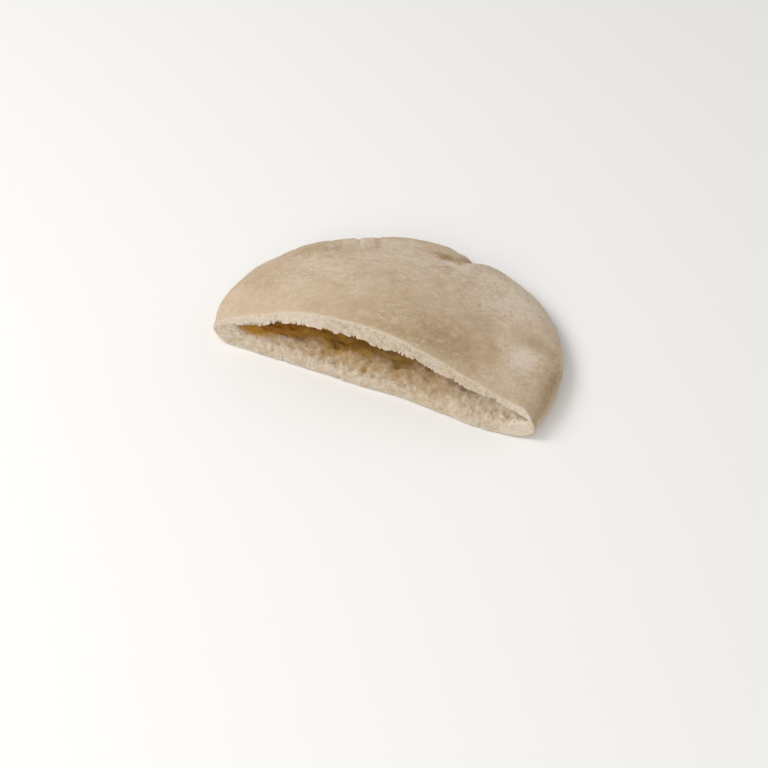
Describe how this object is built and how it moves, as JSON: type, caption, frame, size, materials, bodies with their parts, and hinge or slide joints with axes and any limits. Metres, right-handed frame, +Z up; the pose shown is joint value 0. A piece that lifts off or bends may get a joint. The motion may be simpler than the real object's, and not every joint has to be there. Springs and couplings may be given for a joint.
{
  "type": "half pita bread",
  "caption": "Half of a puffed pita bread, cut straight across so its pocket stands open between a thin domed upper wall and a flat lower wall.",
  "frame": {"origin": "middle of the base of the bounding box, on the flat underside", "axes": "+X along the cut, from the thick-walled end to the thin-walled end; +Y from the open cut face to the rounded back rim; +Z up, out of the domed crust"},
  "size_m": [0.1624, 0.093, 0.0354],
  "materials": {
    "bread": "dry floury baked crust, with pale open crumb where it is cut and inside the pocket"
  },
  "bodies": {
    "root": {"half_pita": "bread"}
  },
  "joints": []
}
